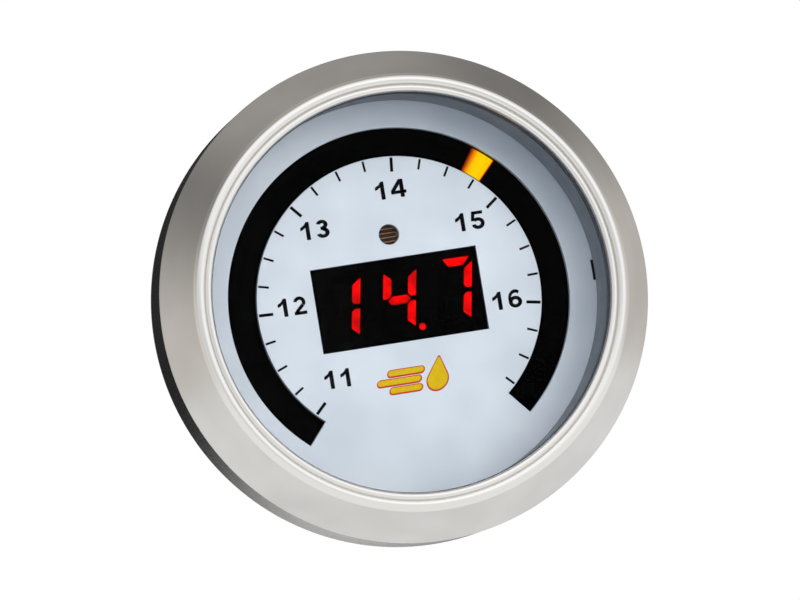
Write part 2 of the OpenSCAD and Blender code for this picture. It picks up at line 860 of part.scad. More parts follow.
module thumb_nut_bottom() {
    color([0.8, 0.68, 0.4]) upright() thumb_nut(-1);
}

bezel();
lens_gasket();
lens();
dial_ring();
faceplate();
smoked_film();
light_block();
light_pipes();
arc_leds();
digit_display();
display_bars();
display_pins();
photocell();
photocell_leads();
display_board();
led_drivers();
link_receptacle();
link_pins();
link_header();
board_spacers();
board_screws();
main_board();
controller_chip();
voltage_regulator();
capacitors();
sensor_socket();
sensor_pins();
power_socket();
power_pins();
cup();
mounting_studs();
clamp_strap();
washer_top();
washer_bottom();
thumb_nut_top();
thumb_nut_bottom();
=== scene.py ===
# %% [markdown]
# # A lit air fuel ratio gauge
#
# This lesson dresses a finished CAD model of a round dash gauge. The model brings the solids and says which
# of them move together. What is added here is what the eye meets first: a finely turned bezel, the printed
# dial, the lit bars and the lit cell, the clear lens, and a material for every piece.
#
# Every shape is drawn lying down in millimetres, with x to the right of the dial, y up the dial and z towards
# the driver. One matrix then stands it up and turns millimetres into metres.

# %% Load the frame and name the tools
from math import atan2, cos, degrees, dist, pi, radians, sin, tan

import bmesh
import bpy
from mathutils import Matrix, Vector


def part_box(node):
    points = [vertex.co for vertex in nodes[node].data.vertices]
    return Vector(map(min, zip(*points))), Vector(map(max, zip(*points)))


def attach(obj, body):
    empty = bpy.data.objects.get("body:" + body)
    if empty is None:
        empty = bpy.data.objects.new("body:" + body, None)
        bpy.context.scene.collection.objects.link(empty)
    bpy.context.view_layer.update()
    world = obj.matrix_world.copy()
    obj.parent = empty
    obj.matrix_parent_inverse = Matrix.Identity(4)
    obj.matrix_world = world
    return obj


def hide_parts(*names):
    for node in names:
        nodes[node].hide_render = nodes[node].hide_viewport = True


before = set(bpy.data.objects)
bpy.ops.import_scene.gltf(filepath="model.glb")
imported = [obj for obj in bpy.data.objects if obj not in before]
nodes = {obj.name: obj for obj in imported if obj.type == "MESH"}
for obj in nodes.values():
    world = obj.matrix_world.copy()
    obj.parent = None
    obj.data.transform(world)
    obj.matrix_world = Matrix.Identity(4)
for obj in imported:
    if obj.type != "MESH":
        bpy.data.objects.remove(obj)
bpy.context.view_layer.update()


MM = 0.001
STAND = Matrix.Scale(MM, 4) @ Matrix.Rotation(radians(90), 4, "X")

# %% [markdown]
# ## One way to add a node, one way to write a colour
#
# Colours are written as the hex values that a screen shows. Blender's sockets want linear light, so one
# function turns each value. A second function adds any shader node: plain values fill its sockets, and a
# socket of another node becomes a link. A third makes a bare material with them.

# %% Colour, node and material helpers
def linear(hex_colour):
    channels = [int(hex_colour[i:i + 2], 16) / 255 for i in (1, 3, 5)]
    curve = [c / 12.92 if c <= 0.04045 else ((c + 0.055) / 1.055) ** 2.4 for c in channels]
    return (*curve, 1.0)


def add(tree, kind, sockets=None, **settings):
    node = tree.nodes.new(kind)
    for name, value in settings.items():
        setattr(node, name, value)
    for name, value in (sockets or {}).items():
        if isinstance(value, bpy.types.NodeSocket):
            tree.links.new(value, node.inputs[name])
        else:
            node.inputs[name].default_value = value
    return node


def new_material(name, hex_colour, roughness, metallic=0.0, specular=0.5, **sockets):
    material = bpy.data.materials.new(name)
    material.use_nodes = True
    tree = material.node_tree
    tree.nodes.clear()
    shader = add(tree, "ShaderNodeBsdfPrincipled", {"Base Color": linear(hex_colour), "Roughness": roughness,
                                                   "Metallic": metallic, "Specular IOR Level": specular,
                                                   **sockets})
    add(tree, "ShaderNodeOutputMaterial", {"Surface": shader.outputs["BSDF"]})
    return material, tree, shader


def resurface(tree, surface):
    """Shows another shader on a material in place of its first one."""
    output = next(node for node in tree.nodes if node.type == "OUTPUT_MATERIAL")
    tree.links.new(surface, output.inputs["Surface"])


print("pure white in linear light:", linear("#ffffff"))

# %% [markdown]
# ## Two patterns that the finishes share
#
# No real surface has one even colour or one even gloss. Blotches let a colour wander between two shades, as
# pigment, plating and moulding do. Grit spreads the roughness and raises a shallow relief, as blasting or the
# texture of a mould does. Both read Object coordinates in millimetres, so their scale is a real size and the
# pattern stays with the piece when it moves.

# %% Blotches and grit
def place_mm(tree):
    """Object coordinates in millimetres."""
    coords = add(tree, "ShaderNodeTexCoord")
    scaled = add(tree, "ShaderNodeVectorMath", {0: coords.outputs["Object"], 1: (1 / MM, 1 / MM, 1 / MM)},
                 operation="MULTIPLY")
    return scaled.outputs["Vector"]


def blotches(tree, size_mm, low_hex, high_hex, detail=2.0, low_at=0.3, high_at=0.7):
    """A colour that wanders between two shades, in blotches about size_mm wide."""
    noise = add(tree, "ShaderNodeTexNoise", {"Vector": place_mm(tree), "Scale": 1 / size_mm,
                                             "Detail": detail})
    ramp = add(tree, "ShaderNodeValToRGB", {"Fac": noise.outputs["Fac"]})
    for element, position, shade in zip(ramp.color_ramp.elements, (low_at, high_at), (low_hex, high_hex)):
        element.position = position
        element.color = linear(shade)
    return ramp.outputs["Color"]


def grit(tree, shader, size_mm, rough, relief_mm=0.0, strength=0.3, detail=2.0):
    """Grains about size_mm wide, which spread the roughness between two values and raise a relief."""
    noise = add(tree, "ShaderNodeTexNoise", {"Vector": place_mm(tree), "Scale": 1 / size_mm,
                                             "Detail": detail})
    spread = add(tree, "ShaderNodeMapRange", {"Value": noise.outputs["Fac"], "To Min": rough[0],
                                              "To Max": rough[1]})
    tree.links.new(spread.outputs["Result"], shader.inputs["Roughness"])
    if relief_mm:
        relief = add(tree, "ShaderNodeBump", {"Height": noise.outputs["Fac"], "Distance": relief_mm * MM,
                                              "Strength": strength})
        tree.links.new(relief.outputs["Normal"], shader.inputs["Normal"])
    return spread.outputs["Result"]


print("a pattern 1 mm wide has scale 1, since its coordinates are millimetres")

# %% [markdown]
# ## Silver of the bezel
#
# The real bezel is aluminium, turned, blasted to a fine satin and anodised clear. To the eye that is a soft
# grey metal whose reflections are blurred but still show the studio as broad bands. The blast's grit is
# about 0.1 mm, which is too fine to see at this distance, so it is drawn at 0.25 mm and very shallow. Broad
# patches of slightly different tone stand for handling and the anodising bath. The ridge and the lip are cut
# bright after the blasting, so above a certain height the metal is a little smoother. It is whiter there as
# well, partly for the bright cut and partly as a painted highlight for the light that the ridge and the lip
# catch. The side wall is left as it comes from the lathe, so below the land the metal is smoother still.

# %% Anodised aluminium
CUT_HIGHLIGHT_FROM, CUT_HIGHLIGHT_FULL = 14.95, 15.15
CUT_FACTOR = 0.95
SKIRT_FROM, SKIRT_TO = 9.0, 9.3
SKIRT_FACTOR = 0.75
silver, tree, shader = new_material("blasted_anodised_aluminium", "#d6d4d0", 0.34, 1.0)
roughness = grit(tree, shader, 0.25, (0.28, 0.36), 0.01, 0.2, 3.0)
depth = add(tree, "ShaderNodeSeparateXYZ", {"Vector": place_mm(tree)}).outputs["Y"]
# Mask above the land: its whiter colour is partly the bright cut and partly a painted highlight.
cut_and_highlight = add(tree, "ShaderNodeMapRange", {"Value": depth, "From Min": -CUT_HIGHLIGHT_FROM, "From Max": -CUT_HIGHLIGHT_FULL})
tone_and_highlight = add(tree, "ShaderNodeMix", {"Factor": cut_and_highlight.outputs["Result"], "B": linear("#ebe9e5"),
                                    "A": blotches(tree, 9.0, "#d0cecb", "#dddbd8")}, data_type="RGBA")
tree.links.new(tone_and_highlight.outputs["Result"], shader.inputs["Base Color"])
cut_gloss = add(tree, "ShaderNodeMapRange", {"Value": cut_and_highlight.outputs["Result"], "To Min": 1.0,
                                             "To Max": CUT_FACTOR})
skirt_gloss = add(tree, "ShaderNodeMapRange", {"Value": depth, "From Min": -SKIRT_TO, "From Max": -SKIRT_FROM,
                                               "To Min": 1.0, "To Max": SKIRT_FACTOR})
for gloss in (cut_gloss, skirt_gloss):
    product = add(tree, "ShaderNodeMath", {0: roughness, 1: gloss.outputs["Result"]}, operation="MULTIPLY")
    roughness = product.outputs[0]
tree.links.new(roughness, shader.inputs["Roughness"])
print("made", silver.name)

# %% [markdown]
# ## Turning a profile
#
# The bezel, the lens, the rings and the studs are all turned pieces. A half profile is drawn as a few
# vertices, with its rounds as arcs, and the spin operator sweeps it once round. The doubles where the sweep
# meets itself are merged, and the normals are recalculated so that they point outwards. A flat face gets its
# thickness from the extrude operator.

# %% Profile and spin helpers
SMOOTH_UNDER = radians(28)


def arc(mid, radius, start, end, steps):
    angles = [radians(start + (end - start) * i / steps) for i in range(steps + 1)]
    return [(mid[0] + radius * cos(a), mid[1] + radius * sin(a)) for a in angles]


def held(start, end, near=0.06):
    """Two points just inside the ends of a straight run, so that its shading stays flat between them."""
    share = near / dist(start, end)
    return [tuple(a + (b - a) * t for a, b in zip(start, end)) for t in (share, 1 - share)]


def closed_loop(bm, profile):
    """The vertices and edges of a closed half profile of (radius, height)."""
    verts = [bm.verts.new((r, 0, z)) for r, z in profile]
    return verts + [bm.edges.new(pair) for pair in zip(verts, verts[1:] + verts[:1])]


def turned(profile, steps=256):
    """A bmesh swept once round the gauge's axis from a closed half profile."""
    bm = bmesh.new()
    bmesh.ops.spin(bm, geom=closed_loop(bm, profile), cent=(0, 0, 0), axis=(0, 0, 1), angle=2 * pi,
                   steps=steps, use_merge=True)
    bmesh.ops.remove_doubles(bm, verts=bm.verts, dist=1e-5)
    bmesh.ops.recalc_face_normals(bm, faces=bm.faces)
    return bm


def sector(r_in, r_out, low, high, at, wide, steps=12):
    """A piece of a ring, centred on an angle counted clockwise from the top of the dial."""
    bm = bmesh.new()
    section = closed_loop(bm, [(r_in, low), (r_out, low), (r_out, high), (r_in, high)])
    turn = Matrix.Rotation(radians(90 - at - wide / 2), 4, "Z")
    bmesh.ops.transform(bm, matrix=turn, verts=bm.verts)
    bmesh.ops.spin(bm, geom=section, cent=(0, 0, 0), axis=(0, 0, 1), angle=radians(wide), steps=steps,
                   use_merge=False)
    bmesh.ops.holes_fill(bm, edges=bm.edges, sides=0)
    bmesh.ops.recalc_face_normals(bm, faces=bm.faces)
    return bm


def raised(bm, height):
    """Gives flat faces their thickness, and returns the vertices of the top."""
    grown = bmesh.ops.extrude_face_region(bm, geom=bm.faces[:])
    top = [part for part in grown["geom"] if isinstance(part, bmesh.types.BMVert)]
    bmesh.ops.translate(bm, vec=(0, 0, height), verts=top)
    bmesh.ops.recalc_face_normals(bm, faces=bm.faces)
    return top


# %% [markdown]
# ## From a bmesh to a piece
#
# Parts that share a material are joined into one bmesh. A finished bmesh is stood up and becomes an object at
# the origin, and then it is told which body it rides on and given its material. Edges that turn
# more than 28 degrees stay sharp.

# %% Join and place
def joined(*parts):
    """One bmesh from several."""
    whole = bmesh.new()
    for part in parts:
        mesh = bpy.data.meshes.new("part")
        part.to_mesh(mesh)
        whole.from_mesh(mesh)
        bpy.data.meshes.remove(mesh)
        part.free()
    return whole


def piece(bm, name, material, body, smooth=True):
    """Stands a bmesh up, makes it an object of that name and puts it on its body."""
    bmesh.ops.transform(bm, matrix=STAND, verts=bm.verts)
    for face in bm.faces:
        face.smooth = smooth
    for edge in bm.edges:
        edge.smooth = smooth and edge.calc_face_angle(pi) < SMOOTH_UNDER
    mesh = bpy.data.meshes.new(name)
    bm.to_mesh(mesh)
    bm.free()
    mesh.materials.append(material)
    obj = bpy.data.objects.new(name, mesh)
    bpy.context.scene.collection.objects.link(obj)
    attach(obj, body)
    print(f"{name}: {len(mesh.polygons)} faces on {body}")
    return obj


# %% [markdown]
# ## Bezel
#
# The bezel is what makes this gauge heavy-looking: a deep side wall, a steep land, a low ridge, a valley and
# a rounded lip. The CAD bezel has nearly the same profile, but its steps round the ring are coarse enough to
# show at the outline, so the profile is swept again with 360 steps. The outer edge of the ridge is rounded a
# little more, for its broad highlight, and the lip is a little wider and the ridge narrower than in the CAD.
# A straight run between two arcs gets a point near each end, which keeps its shading flat.

# %% Profile of the bezel
BEZEL_R = 30.0
BEZEL_WALL = 1.6
SIDE_H = 9.2
LIP_R = 24.3
LIP_ROUND = 0.46
LIP_UNDER = 14.6
LIP_RISE = 0.54
LIP_SIDE = 25
RIDGE_W = 0.98
RIDGE_RISE = 0.38
VALLEY_W = 0.1
CORNER_ROUND = 0.45
EDGE_ROUND = 0.5
EDGE_FROM = 20
EDGE_SINK = 0.02
CROWN_ROUND = 0.7
CROWN_FROM, CROWN_TO = 60, 125
REAR_ROUND = 0.3
RIM_W = 0.9
SEAT_GAP = 0.1
FREE_GAP = 0.3
LENS_ROOM_H = 1.2
CONE_H = 4.4
BEZEL_STEPS = 360
SKIRT_R = BEZEL_R - BEZEL_WALL
RIM_R = LIP_R + RIM_W
ROOM_R = RIM_R + FREE_GAP
ROOM_UNDER = LIP_UNDER - LENS_ROOM_H
LIP_MID = (LIP_R + LIP_ROUND, LIP_UNDER + LIP_RISE)
LAND_TOP = (LIP_MID[0] + LIP_ROUND + VALLEY_W + RIDGE_W, LIP_MID[1] + RIDGE_RISE)
land_turn = 90 - degrees(atan2(LAND_TOP[1] - SIDE_H, BEZEL_R - LAND_TOP[0]))
corner_mid = (BEZEL_R - CORNER_ROUND, SIDE_H - CORNER_ROUND * tan(radians(land_turn / 2)))
edge_mid = (LAND_TOP[0] - EDGE_ROUND * cos(radians(EDGE_FROM)),
            LAND_TOP[1] - EDGE_SINK - EDGE_ROUND * sin(radians(EDGE_FROM)))
crown_mid = (edge_mid[0] - (CROWN_ROUND - EDGE_ROUND) * cos(radians(CROWN_FROM)),
             edge_mid[1] - (CROWN_ROUND - EDGE_ROUND) * sin(radians(CROWN_FROM)))
rear_arc = arc((BEZEL_R - REAR_ROUND, REAR_ROUND), REAR_ROUND, -60, 0, 3)
corner_arc = arc(corner_mid, CORNER_ROUND, 0, land_turn, 8)
edge_arc = arc(edge_mid, EDGE_ROUND, EDGE_FROM, CROWN_FROM, 8)
bezel_profile = (
    [(SKIRT_R, 0), (BEZEL_R - REAR_ROUND, 0)]
    + rear_arc + held(rear_arc[-1], corner_arc[0])
    + corner_arc + held(corner_arc[-1], edge_arc[0])
    + edge_arc
    + arc(crown_mid, CROWN_ROUND, CROWN_FROM, CROWN_TO, 12)
    + arc(LIP_MID, LIP_ROUND, LIP_SIDE, 180, 16)
    + [(LIP_R, LIP_UNDER), (ROOM_R, LIP_UNDER), (ROOM_R, ROOM_UNDER), (SKIRT_R, ROOM_UNDER - CONE_H)]
)
print("land leans", round(land_turn, 1), "degrees from the side wall")

# %% [markdown]
# ## Hooks of the twist lock
#
# Three hooks sit inside the skirt and lock behind the lugs of the housing. They show when the bezel is seen
# from behind. A stop at the end of each hook ends the twist.

# %% Turn the bezel and add its hooks
HOOKS = 3
HOOK_WIDE = 27
HOOK_LOW, HOOK_HIGH = 3.0, 4.8
HOOK_SUNK = 0.3
STOP_WIDE = 3
STOP_BACK = 11.7
STOP_LOW, STOP_HIGH = 4.7, 6.5
COLLAR_WALL = 1.4
HOOK_IN = RIM_R + SEAT_GAP + COLLAR_WALL + FREE_GAP
HOOK_OUT = SKIRT_R + HOOK_SUNK
whole = [turned(bezel_profile, BEZEL_STEPS)]
for i in range(HOOKS):
    at = i * 360 / HOOKS
    whole.append(sector(HOOK_IN, HOOK_OUT, HOOK_LOW, HOOK_HIGH, at, HOOK_WIDE))
    whole.append(sector(HOOK_IN + SEAT_GAP, HOOK_OUT, STOP_LOW, STOP_HIGH, at - STOP_BACK, STOP_WIDE, 2))
bezel = piece(joined(*whole), "bezel_turned", silver, "bezel")
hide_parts("bezel")

# %% [markdown]
# ## Dial finish
#
# The dial is a thin aluminium plate with a pale silver print. The pigment is metallic, so it keeps a soft
# sheen and takes on a cool tone from the light, but it is mostly matte. A faint cloudiness keeps it from
# looking like plastic. Real pigment grains are too fine to show here, so they are drawn 0.3 mm wide.

# %% Silver print on the dial
dial_silver, tree, shader = new_material("silver_screen_print", "#d5dde6", 0.5, 0.35)
tree.links.new(blotches(tree, 7.0, "#cfd8e2", "#dbe3ec", 1.0), shader.inputs["Base Color"])
grit(tree, shader, 0.3, (0.44, 0.56), 0.004, 0.2)
print("made", dial_silver.name)

# %% [markdown]
# ## Dial plate
#
# The plate has an arc slot, a window for the digits, a small hole for the light sensor and a notch in its
# edge. A flat curve with one outline and three holes fills itself and gets its thickness from extrude, and a
# hair of bevel softens each cut edge. It is turned into a mesh before it is placed.

# %% Sizes of the dial and a flat plate
DIAL_Z = 4.85
DIAL_T = 1.0
SLOT_IN = 17.5
SLOT_OUT = 21.0
SLOT_END = 139.5
WINDOW_W = 20.6
WINDOW_H = 10.3
WINDOW_Y = -0.05
SENSOR_R = 1.25
SENSOR_Y = 8.0
SENSOR_STEPS = 48
NOTCH_AT = 90
NOTCH_WIDE = 6.0
NOTCH_DEEP = 0.25
EDGE_SOFT = 0.04


def dial_arc(radius, start, end, steps):
    """Points on a circle, at angles counted clockwise from the top of the dial."""
    angles = [radians(start + (end - start) * i / steps) for i in range(steps + 1)]
    return [(radius * sin(a), radius * cos(a)) for a in angles]


def flat_plate(outlines, thickness, soft):
    """A mesh in millimetres, its back on z = 0. The first closed outline is the edge, the rest are holes."""
    curve = bpy.data.curves.new("outline", "CURVE")
    curve.dimensions = "2D"
    curve.fill_mode = "BOTH"
    curve.extrude = thickness / 2 - soft
    curve.bevel_depth = soft
    curve.bevel_resolution = 1
    curve.offset = -soft
    for points in outlines:
        spline = curve.splines.new("POLY")
        spline.points.add(len(points) - 1)
        for point, (x, y) in zip(spline.points, points):
            point.co = (x, y, 0, 1)
        spline.use_cyclic_u = True
    holder = bpy.data.objects.new("outline", curve)
    bpy.context.scene.collection.objects.link(holder)
    bpy.context.view_layer.update()
    mesh = bpy.data.meshes.new_from_object(holder)
    bm = bmesh.new()
    bm.from_mesh(mesh)
    bpy.data.objects.remove(holder)
    bpy.data.curves.remove(curve)
    bpy.data.meshes.remove(mesh)
    bmesh.ops.remove_doubles(bm, verts=bm.verts, dist=1e-5)
    bmesh.ops.translate(bm, verts=bm.verts, vec=(0, 0, thickness / 2))
    return bm


# %% Cut the dial plate
notch_from, notch_to = NOTCH_AT - NOTCH_WIDE / 2, NOTCH_AT + NOTCH_WIDE / 2
edge_line = dial_arc(RIM_R, notch_to, notch_from + 360, 300)
edge_line += dial_arc(LIP_R - NOTCH_DEEP, notch_from + 360, notch_to + 360, 6)
slot_line = dial_arc(SLOT_OUT, -SLOT_END, SLOT_END, 220) + dial_arc(SLOT_IN, SLOT_END, -SLOT_END, 220)
half_w, half_h = WINDOW_W / 2, WINDOW_H / 2
corners = ((-half_w, -half_h), (-half_w, half_h), (half_w, half_h), (half_w, -half_h))
window_line = [(x, WINDOW_Y + y) for x, y in corners]
sensor_round = dial_arc(SENSOR_R, 0, 360 - 360 / SENSOR_STEPS, SENSOR_STEPS - 1)
sensor_line = [(x, y + SENSOR_Y) for x, y in sensor_round]
plate = flat_plate([edge_line, slot_line, window_line, sensor_line], DIAL_T, EDGE_SOFT)
bmesh.ops.translate(plate, verts=plate.verts, vec=(0, 0, DIAL_Z - DIAL_T))
dial = piece(plate, "dial_plate", dial_silver, "gauge", smooth=False)
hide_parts("faceplate")
print("slot", SLOT_IN, "to", SLOT_OUT, "mm")

# %% [markdown]
# ## Ink
#
# Ticks and numerals are screen printed in matte black. The ink stands 0.02 mm proud, which is enough to give
# it its own surface. It is nearly black, and a little patchy where the screen laid it down.

# %% Black screen ink
ink, tree, shader = new_material("black_screen_ink", "#060607", 0.7, specular=0.05)
tree.links.new(blotches(tree, 0.4, "#070708", "#121213"), shader.inputs["Base Color"])
print("made", ink.name)

# %% [markdown]
# ## Tick marks
#
# Twenty-four marks run round the inside of the slot. Every fourth one, counted from each numeral, is longer
# and thicker. A mark is one cube, scaled and then turned to its angle.

# %% Print the ticks
TICKS = 24
SWEEP = 270.0
INK_T = 0.02
TICK_OUT = 17.35
MAJOR_IN, MINOR_IN = 15.6, 16.05
MAJOR_W, MINOR_W = 0.37, 0.27
MAJOR_EVERY = 4


def tick(clock, inner, width):
    bm = bmesh.new()
    bmesh.ops.create_cube(bm, size=1)
    bmesh.ops.scale(bm, vec=(width, TICK_OUT - inner, INK_T), verts=bm.verts)
    bmesh.ops.translate(bm, vec=(0, (TICK_OUT + inner) / 2, DIAL_Z + INK_T / 2), verts=bm.verts)
    bmesh.ops.rotate(bm, matrix=Matrix.Rotation(radians(-clock), 3, "Z"), verts=bm.verts)
    return bm


ticks = []
for i in range(TICKS):
    clock = -SWEEP / 2 + i * SWEEP / (TICKS - 1)
    major = i % MAJOR_EVERY == 0
    ticks.append(tick(clock, MAJOR_IN if major else MINOR_IN, MAJOR_W if major else MINOR_W))
piece(joined(*ticks), "scale_ticks", ink, "gauge", smooth=False)

# %% [markdown]
# ## Numerals
#
# The scale reads 11 to 16 in a bold upright sans, 2.2 mm tall. A figure could come from a text object, but
# the font that Blender brings has other shapes, so each figure is drawn as a sign painter would: straight
# strokes are patches with a few corners, and bowls are a short edge that is spun round a centre and then
# stretched to an oval. All strokes are printed to the same height, so where they overlap they read as one.

# %% Strokes of a figure
FIGURE_H = 2.22
STEM = 0.5
HAIR = 0.42
FIGURE_STEP = 2.0


def patch(*corners):
    """A flat stroke from its corners, in millimetres from the figure's lower left."""
    bm = bmesh.new()
    bm.faces.new([bm.verts.new((x, y, 0)) for x, y in corners])
    return bm


def swept_edge(radii, start, end, steps):
    """A flat piece of a ring, swept by a short edge from one angle to another."""
    bm = bmesh.new()
    ends = [bm.verts.new((r, 0, 0)) for r in radii]
    edge = bm.edges.new(ends)
    bmesh.ops.rotate(bm, matrix=Matrix.Rotation(radians(start), 3, "Z"), verts=bm.verts)
    bmesh.ops.spin(bm, geom=[*ends, edge], cent=(0, 0, 0), axis=(0, 0, 1), angle=radians(end - start),
                   steps=steps, use_merge=False)
    return bm


def bowl(middle, wide, high, start, end, steps=20):
    """A flat oval stroke: wide and high measure its outside, and its sides are heavier than its ends."""
    bm = swept_edge((1 - 2 * HAIR / high, 1.0), start, end, steps)
    bmesh.ops.scale(bm, vec=(wide / 2, high / 2, 1), verts=bm.verts)
    bmesh.ops.translate(bm, vec=(*middle, 0), verts=bm.verts)
    return bm


# %% Six figures
def one():
    return [patch((0.74, 0), (0.74 + STEM, 0), (0.74 + STEM, FIGURE_H), (0.86, FIGURE_H), (0.60, 1.86),
                  (0.10, 1.58), (0.10, 1.18), (0.46, 1.32), (0.74, 1.54))]


def two():
    return [bowl((0.80, 1.50), 1.50, 1.44, -38, 168),
            patch((0.04, 0), (0.04, 0.20), (0.30, 0.62), (1.02, 1.30), (1.36, 1.04), (0.66, 0.40), (0.66, 0)),
            patch((0.04, 0), (1.58, 0), (1.58, 0.40), (0.04, 0.40))]


def three():
    return [bowl((0.80, 1.62), 1.44, 1.20, -90, 165), bowl((0.82, 0.64), 1.62, 1.28, -168, 90),
            patch((0.58, 1.00), (0.95, 0.90), (0.95, 1.45), (0.58, 1.36))]


def four():
    return [patch((1.12, 0), (1.12 + STEM, 0), (1.12 + STEM, FIGURE_H), (1.12, FIGURE_H)),
            patch((0, 0.46), (1.90, 0.46), (1.90, 0.86), (0, 0.86)),
            patch((0, 0.50), (0.52, 0.84), (1.16, 1.60), (1.16, FIGURE_H), (1.06, FIGURE_H), (0, 0.90))]


def five():
    return [patch((0.30, 1.82), (1.58, 1.82), (1.58, FIGURE_H), (0.22, FIGURE_H)),
            patch((0.04, 1.04), (0.46, 1.04), (0.64, FIGURE_H), (0.22, FIGURE_H)),
            bowl((0.86, 0.72), 1.66, 1.44, -168, 142)]


def six():
    return [bowl((0.90, 0.72), 1.66, 1.44, 0, 360, 28), bowl((0.98, 1.11), 1.82, 2.24, 52, 200)]


print("a figure is", FIGURE_H, "mm tall with stems of", STEM, "mm")

# %% Print the numerals
FIGURES = {"1": one, "2": two, "3": three, "4": four, "5": five, "6": six}
FIGURE_PLACES = {"11": (-9.13, -8.4), "12": (-13.17, 1.1), "13": (-8.9, 9.9), "14": (1.1, 13.4),
                 "15": (10.1, 8.13), "16": (13.07, -2.03)}


def middle_of(bm):
    """Middle of a flat drawing's box."""
    ends = [(min(v.co[i] for v in bm.verts), max(v.co[i] for v in bm.verts)) for i in range(2)]
    return [(low + high) / 2 for low, high in ends]


def printed(bm, place):
    """Lays a flat drawing on the dial, its middle at that place, and gives it the thickness of ink."""
    x, y = middle_of(bm)
    bmesh.ops.remove_doubles(bm, verts=bm.verts, dist=1e-4)
    bmesh.ops.translate(bm, vec=(place[0] - x, place[1] - y, DIAL_Z), verts=bm.verts)
    raised(bm, INK_T)
    return bm


def number(text):
    strokes = []
    for i, character in enumerate(text):
        for stroke in FIGURES[character]():
            bmesh.ops.translate(stroke, vec=(i * FIGURE_STEP, 0, 0), verts=stroke.verts)
            strokes.append(stroke)
    return joined(*strokes)


numerals = [printed(number(text), middle) for text, middle in FIGURE_PLACES.items()]
piece(joined(*numerals), "scale_numerals", ink, "gauge", smooth=False)

# %% [markdown]
# ## Small printed sign
#
# Under the display the dial carries a small sign in yellow ink with a red edge: a fuel drop and three streaks
# of air, the two things that the gauge compares. It is two layers. The red layer is the same drawing grown by
# the width of the edge, and the yellow layer lies on it.

# %% Draw the drop and the streaks
SIGN_PLACE = (0.0, -9.6)
SIGN_SLANT = 0.22
SIGN_EDGE = 0.16
DROP_R = 1.25
DROP_TIP = 2.15
DROP_X, DROP_Y = 2.5, -0.45
TIP_HALF = 0.12
TIP_GROWTH = 1.6
STREAK_R = 0.33
STREAKS = ((-3.4, 0.35, 1.05), (-4.6, 0.05, 0.0), (-3.0, 0.25, -1.05))


def slanted(bm):
    for vert in bm.verts:
        vert.co.x += vert.co.y * SIGN_SLANT
    return bm


def drop(grown):
    """A round drop with a pointed top, grown outwards on all sides."""
    round_part = arc((DROP_X, DROP_Y), DROP_R + grown, 150, 390, 28)
    tip = DROP_TIP + grown * TIP_GROWTH
    return patch(*round_part, (DROP_X + TIP_HALF, tip), (DROP_X - TIP_HALF, tip))


def streak(left, right, y, grown):
    """A long bar with round ends."""
    radius = STREAK_R + grown
    return patch(*arc((left, y), radius, 90, 270, 12), *arc((right, y), radius, -90, 90, 12))


def sign(grown):
    return slanted(joined(drop(grown), *[streak(*ends, grown) for ends in STREAKS]))


# %% Print the sign
red_ink, tree, shader = new_material("red_screen_ink", "#d0281c", 0.5)
tree.links.new(blotches(tree, 0.4, "#c8231a", "#da2e20"), shader.inputs["Base Color"])
yellow_ink, tree, shader = new_material("yellow_screen_ink", "#ffd800", 0.7, specular=0.1)
tree.links.new(blotches(tree, 0.4, "#fbca12", "#ffd928"), shader.inputs["Base Color"])
edge_layer = printed(sign(SIGN_EDGE), SIGN_PLACE)
top_layer = printed(sign(0.0), SIGN_PLACE)
bmesh.ops.translate(top_layer, vec=(0, 0, INK_T), verts=top_layer.verts)
piece(edge_layer, "sign_edge", red_ink, "gauge", smooth=False)
piece(top_layer, "sign_face", yellow_ink, "gauge", smooth=False)

# %% [markdown]
# ## Digits
#
# The display is the usual seven bar kind: each bar is a clear red moulding, lit from behind, in a black case
# that swallows all other light. The bars lean 10 degrees. Each bar is drawn upright as one polygon, leaned by
# a shear, and given its thickness by extrusion. Which bars are lit makes the reading 14.7.

# %% Lit and unlit bars
DIGIT_H = 7.1
DIGIT_W = 3.1
DIGIT_PITCH = 6.95
BAR_W = 1.0
BAR_GAP = 0.3
BAR_ROUND = 0.12
BAR_SOFT = 0.05
BAR_T = 0.6
LEAN = tan(radians(10))
POINT_R = 0.42
POINT_STEPS = 32
BAR_TOP = DIAL_Z - SEAT_GAP
hw, hh, hb, hg = DIGIT_W / 2, DIGIT_H / 2, BAR_W / 2, BAR_GAP / 2
flat_bar = [(-hw - BAR_ROUND, hh + hb), (hw + BAR_ROUND, hh + hb), (hw - hb - hg, hh - hb),
            (-hw + hb + hg, hh - hb)]
side_bar = [(hw + hb, hh - hg), (hw + hb, BAR_GAP), (hw - hg, BAR_GAP), (hw - hb, hb + hg),
            (hw - hb, hh - hb - BAR_GAP - hg)]
middle_bar = [(-hw + hg, 0), (-hw + hb + hg, hb), (hw - hb - hg, hb), (hw - hg, 0), (hw - hb - hg, -hb),
              (-hw + hb + hg, -hb)]


def mirrored(points, sx, sy):
    return [(x * sx, y * sy) for x, y in points]


BARS = {"a": flat_bar, "b": side_bar, "c": mirrored(side_bar, 1, -1), "d": mirrored(flat_bar, 1, -1),
        "e": mirrored(side_bar, -1, -1), "f": mirrored(side_bar, -1, 1), "g": middle_bar}
LIT = {-1: "bc", 0: "fgbc.", 1: "abc"}
POINT_AT = (hw + hb + BAR_GAP + hg + POINT_R, -hh - hb + POINT_R)


def prism(points, digit, soft=BAR_ROUND):
    """A leaned bar of digit -1, 0 or 1, its face level with the case and its corners rounded."""
    bm = bmesh.new()
    bm.faces.new([bm.verts.new((x, y, 0)) for x, y in points])
    if soft:
        bmesh.ops.bevel(bm, geom=bm.verts[:], offset=soft, affect="VERTICES", segments=3, profile=0.5,
                        material=-1)
    for vert in bm.verts:
        x, y, _ = vert.co
        vert.co = (x + y * LEAN + digit * DIGIT_PITCH, y + WINDOW_Y, BAR_TOP - BAR_T)
    top = raised(bm, BAR_T)
    rim = [e for e in bm.edges if e.verts[0] in top and e.verts[1] in top]
    bmesh.ops.bevel(bm, geom=rim, offset=BAR_SOFT, affect="EDGES", segments=2, profile=0.5, material=-1)
    return bm


